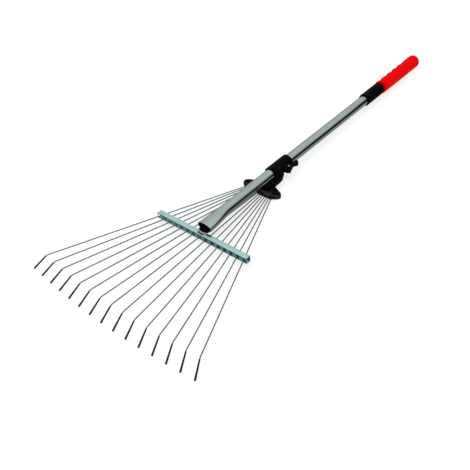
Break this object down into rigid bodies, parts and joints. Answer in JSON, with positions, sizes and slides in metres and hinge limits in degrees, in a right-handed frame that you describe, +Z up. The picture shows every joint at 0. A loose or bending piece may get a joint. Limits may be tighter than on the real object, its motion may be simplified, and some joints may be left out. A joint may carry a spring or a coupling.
{
  "type": "adjustable leaf rake",
  "caption": "Leaf rake with wire tines fanned through a crossbar on a telescopic steel pole, a sliding tine plate with cam lock, a twist collar and a red grip.",
  "frame": {"origin": "on the ground, under the middle of the rake's box as it lies on its tips and its grip", "axes": "+Y along the pole towards the grip, +X across the fan to the cam lever's side, +Z up"},
  "size_m": [0.4448, 1.1302, 0.0415],
  "materials": {
    "pole_steel": "bright zinc plated tube",
    "bar_steel": "zinc plated sheet with a pale blue-green cast",
    "tine_wire": "zinc plated spring wire",
    "tip_black": "black coating",
    "black_plastic": "fine grained moulded plastic",
    "plate_black": "black powder coat",
    "lever_plastic": "moulded plastic",
    "inner_plastic": "plain moulded plastic",
    "pad_rubber": "matt rubber",
    "fastener_steel": "plated",
    "grip_red": "red soft grip"
  },
  "bodies": {
    "pole": {"outer_tube": "pole_steel", "crossbar": "bar_steel", "crossbar_rivets": "fastener_steel", "lock_collet": "inner_plastic"},
    "twist_collar": {"twist_collar": "black_plastic"},
    "inner_pole": {"inner_tube": "pole_steel", "tube_guide_bush": "inner_plastic", "tube_end_plug": "inner_plastic", "hand_grip": "grip_red"},
    "slider": {"slider_housing": "black_plastic", "brake_pad": "pad_rubber", "lever_pin": "fastener_steel", "tine_plate_top": "plate_black", "tine_plate_bottom": "plate_black", "plate_screws": "fastener_steel", "tine_08": "tine_wire", "tine_tip_08": "tip_black"},
    "cam_lever": {"cam_lever": "lever_plastic"},
    "tine_arm_01": {"tine_01": "tine_wire", "tine_tip_01": "tip_black"},
    "tine_arm_02": {"tine_02": "tine_wire", "tine_tip_02": "tip_black"},
    "tine_arm_03": {"tine_03": "tine_wire", "tine_tip_03": "tip_black"},
    "tine_arm_04": {"tine_04": "tine_wire", "tine_tip_04": "tip_black"},
    "tine_arm_05": {"tine_05": "tine_wire", "tine_tip_05": "tip_black"},
    "tine_arm_06": {"tine_06": "tine_wire", "tine_tip_06": "tip_black"},
    "tine_arm_07": {"tine_07": "tine_wire", "tine_tip_07": "tip_black"},
    "tine_arm_09": {"tine_09": "tine_wire", "tine_tip_09": "tip_black"},
    "tine_arm_10": {"tine_10": "tine_wire", "tine_tip_10": "tip_black"},
    "tine_arm_11": {"tine_11": "tine_wire", "tine_tip_11": "tip_black"},
    "tine_arm_12": {"tine_12": "tine_wire", "tine_tip_12": "tip_black"},
    "tine_arm_13": {"tine_13": "tine_wire", "tine_tip_13": "tip_black"},
    "tine_arm_14": {"tine_14": "tine_wire", "tine_tip_14": "tip_black"},
    "tine_arm_15": {"tine_15": "tine_wire", "tine_tip_15": "tip_black"}
  },
  "joints": [
    {"name": "slider_slide", "type": "slide", "parent": "pole", "child": "slider", "axis": [0, 0.9999, -0.0126], "range_m": [0, 0.11]},
    {"name": "pole_extension", "type": "slide", "parent": "pole", "child": "inner_pole", "axis": [0, 0.9999, -0.0126], "range_m": [0, 0.46]},
    {"name": "collar_twist", "type": "hinge", "parent": "pole", "child": "twist_collar", "pos_m": [0, 0.30708, 0.02062], "axis": [0, 0.9999, -0.0126], "range_deg": [0, 120]},
    {"name": "lever_hinge", "type": "hinge", "parent": "slider", "child": "cam_lever", "pos_m": [0.0216, -0.03289, 0.02491], "axis": [0, -0.0126, -0.9999], "range_deg": [0, 110]},
    {"name": "tine_hinge_01", "type": "hinge", "parent": "slider", "child": "tine_arm_01", "pos_m": [-0.035, -0.11321, 0.00541], "axis": [0, 0.0393, 0.9992], "range_deg": [0, 8.05]},
    {"name": "tine_hinge_02", "type": "hinge", "parent": "slider", "child": "tine_arm_02", "pos_m": [-0.03, -0.11321, 0.00541], "axis": [0, 0.0393, 0.9992], "range_deg": [0, 7.1]},
    {"name": "tine_hinge_03", "type": "hinge", "parent": "slider", "child": "tine_arm_03", "pos_m": [-0.025, -0.11321, 0.00541], "axis": [0, 0.0393, 0.9992], "range_deg": [0, 6.07]},
    {"name": "tine_hinge_04", "type": "hinge", "parent": "slider", "child": "tine_arm_04", "pos_m": [-0.02, -0.11321, 0.00541], "axis": [0, 0.0393, 0.9992], "range_deg": [0, 4.96]},
    {"name": "tine_hinge_05", "type": "hinge", "parent": "slider", "child": "tine_arm_05", "pos_m": [-0.015, -0.11321, 0.00541], "axis": [0, 0.0393, 0.9992], "range_deg": [0, 3.78]},
    {"name": "tine_hinge_06", "type": "hinge", "parent": "slider", "child": "tine_arm_06", "pos_m": [-0.01, -0.11321, 0.00541], "axis": [0, 0.0393, 0.9992], "range_deg": [0, 2.55]},
    {"name": "tine_hinge_07", "type": "hinge", "parent": "slider", "child": "tine_arm_07", "pos_m": [-0.005, -0.11321, 0.00541], "axis": [0, 0.0393, 0.9992], "range_deg": [0, 1.29]},
    {"name": "tine_hinge_09", "type": "hinge", "parent": "slider", "child": "tine_arm_09", "pos_m": [0.005, -0.11321, 0.00541], "axis": [0, 0.0393, 0.9992], "range_deg": [-1.29, 0]},
    {"name": "tine_hinge_10", "type": "hinge", "parent": "slider", "child": "tine_arm_10", "pos_m": [0.01, -0.11321, 0.00541], "axis": [0, 0.0393, 0.9992], "range_deg": [-2.55, 0]},
    {"name": "tine_hinge_11", "type": "hinge", "parent": "slider", "child": "tine_arm_11", "pos_m": [0.015, -0.11321, 0.00541], "axis": [0, 0.0393, 0.9992], "range_deg": [-3.78, 0]},
    {"name": "tine_hinge_12", "type": "hinge", "parent": "slider", "child": "tine_arm_12", "pos_m": [0.02, -0.11321, 0.00541], "axis": [0, 0.0393, 0.9992], "range_deg": [-4.96, 0]},
    {"name": "tine_hinge_13", "type": "hinge", "parent": "slider", "child": "tine_arm_13", "pos_m": [0.025, -0.11321, 0.00541], "axis": [0, 0.0393, 0.9992], "range_deg": [-6.07, 0]},
    {"name": "tine_hinge_14", "type": "hinge", "parent": "slider", "child": "tine_arm_14", "pos_m": [0.03, -0.11321, 0.00541], "axis": [0, 0.0393, 0.9992], "range_deg": [-7.1, 0]},
    {"name": "tine_hinge_15", "type": "hinge", "parent": "slider", "child": "tine_arm_15", "pos_m": [0.035, -0.11321, 0.00541], "axis": [0, 0.0393, 0.9992], "range_deg": [-8.05, 0]}
  ],
  "couplings": [
    {"joint": "tine_hinge_01", "follows": "slider_slide", "rad_per_m": 1.2707},
    {"joint": "tine_hinge_02", "follows": "slider_slide", "rad_per_m": 1.1211},
    {"joint": "tine_hinge_03", "follows": "slider_slide", "rad_per_m": 0.95809},
    {"joint": "tine_hinge_04", "follows": "slider_slide", "rad_per_m": 0.78287},
    {"joint": "tine_hinge_05", "follows": "slider_slide", "rad_per_m": 0.59711},
    {"joint": "tine_hinge_06", "follows": "slider_slide", "rad_per_m": 0.40296},
    {"joint": "tine_hinge_07", "follows": "slider_slide", "rad_per_m": 0.20298},
    {"joint": "tine_hinge_09", "follows": "slider_slide", "rad_per_m": -0.20298},
    {"joint": "tine_hinge_10", "follows": "slider_slide", "rad_per_m": -0.40296},
    {"joint": "tine_hinge_11", "follows": "slider_slide", "rad_per_m": -0.59711},
    {"joint": "tine_hinge_12", "follows": "slider_slide", "rad_per_m": -0.78287},
    {"joint": "tine_hinge_13", "follows": "slider_slide", "rad_per_m": -0.95809},
    {"joint": "tine_hinge_14", "follows": "slider_slide", "rad_per_m": -1.1211},
    {"joint": "tine_hinge_15", "follows": "slider_slide", "rad_per_m": -1.2707}
  ]
}
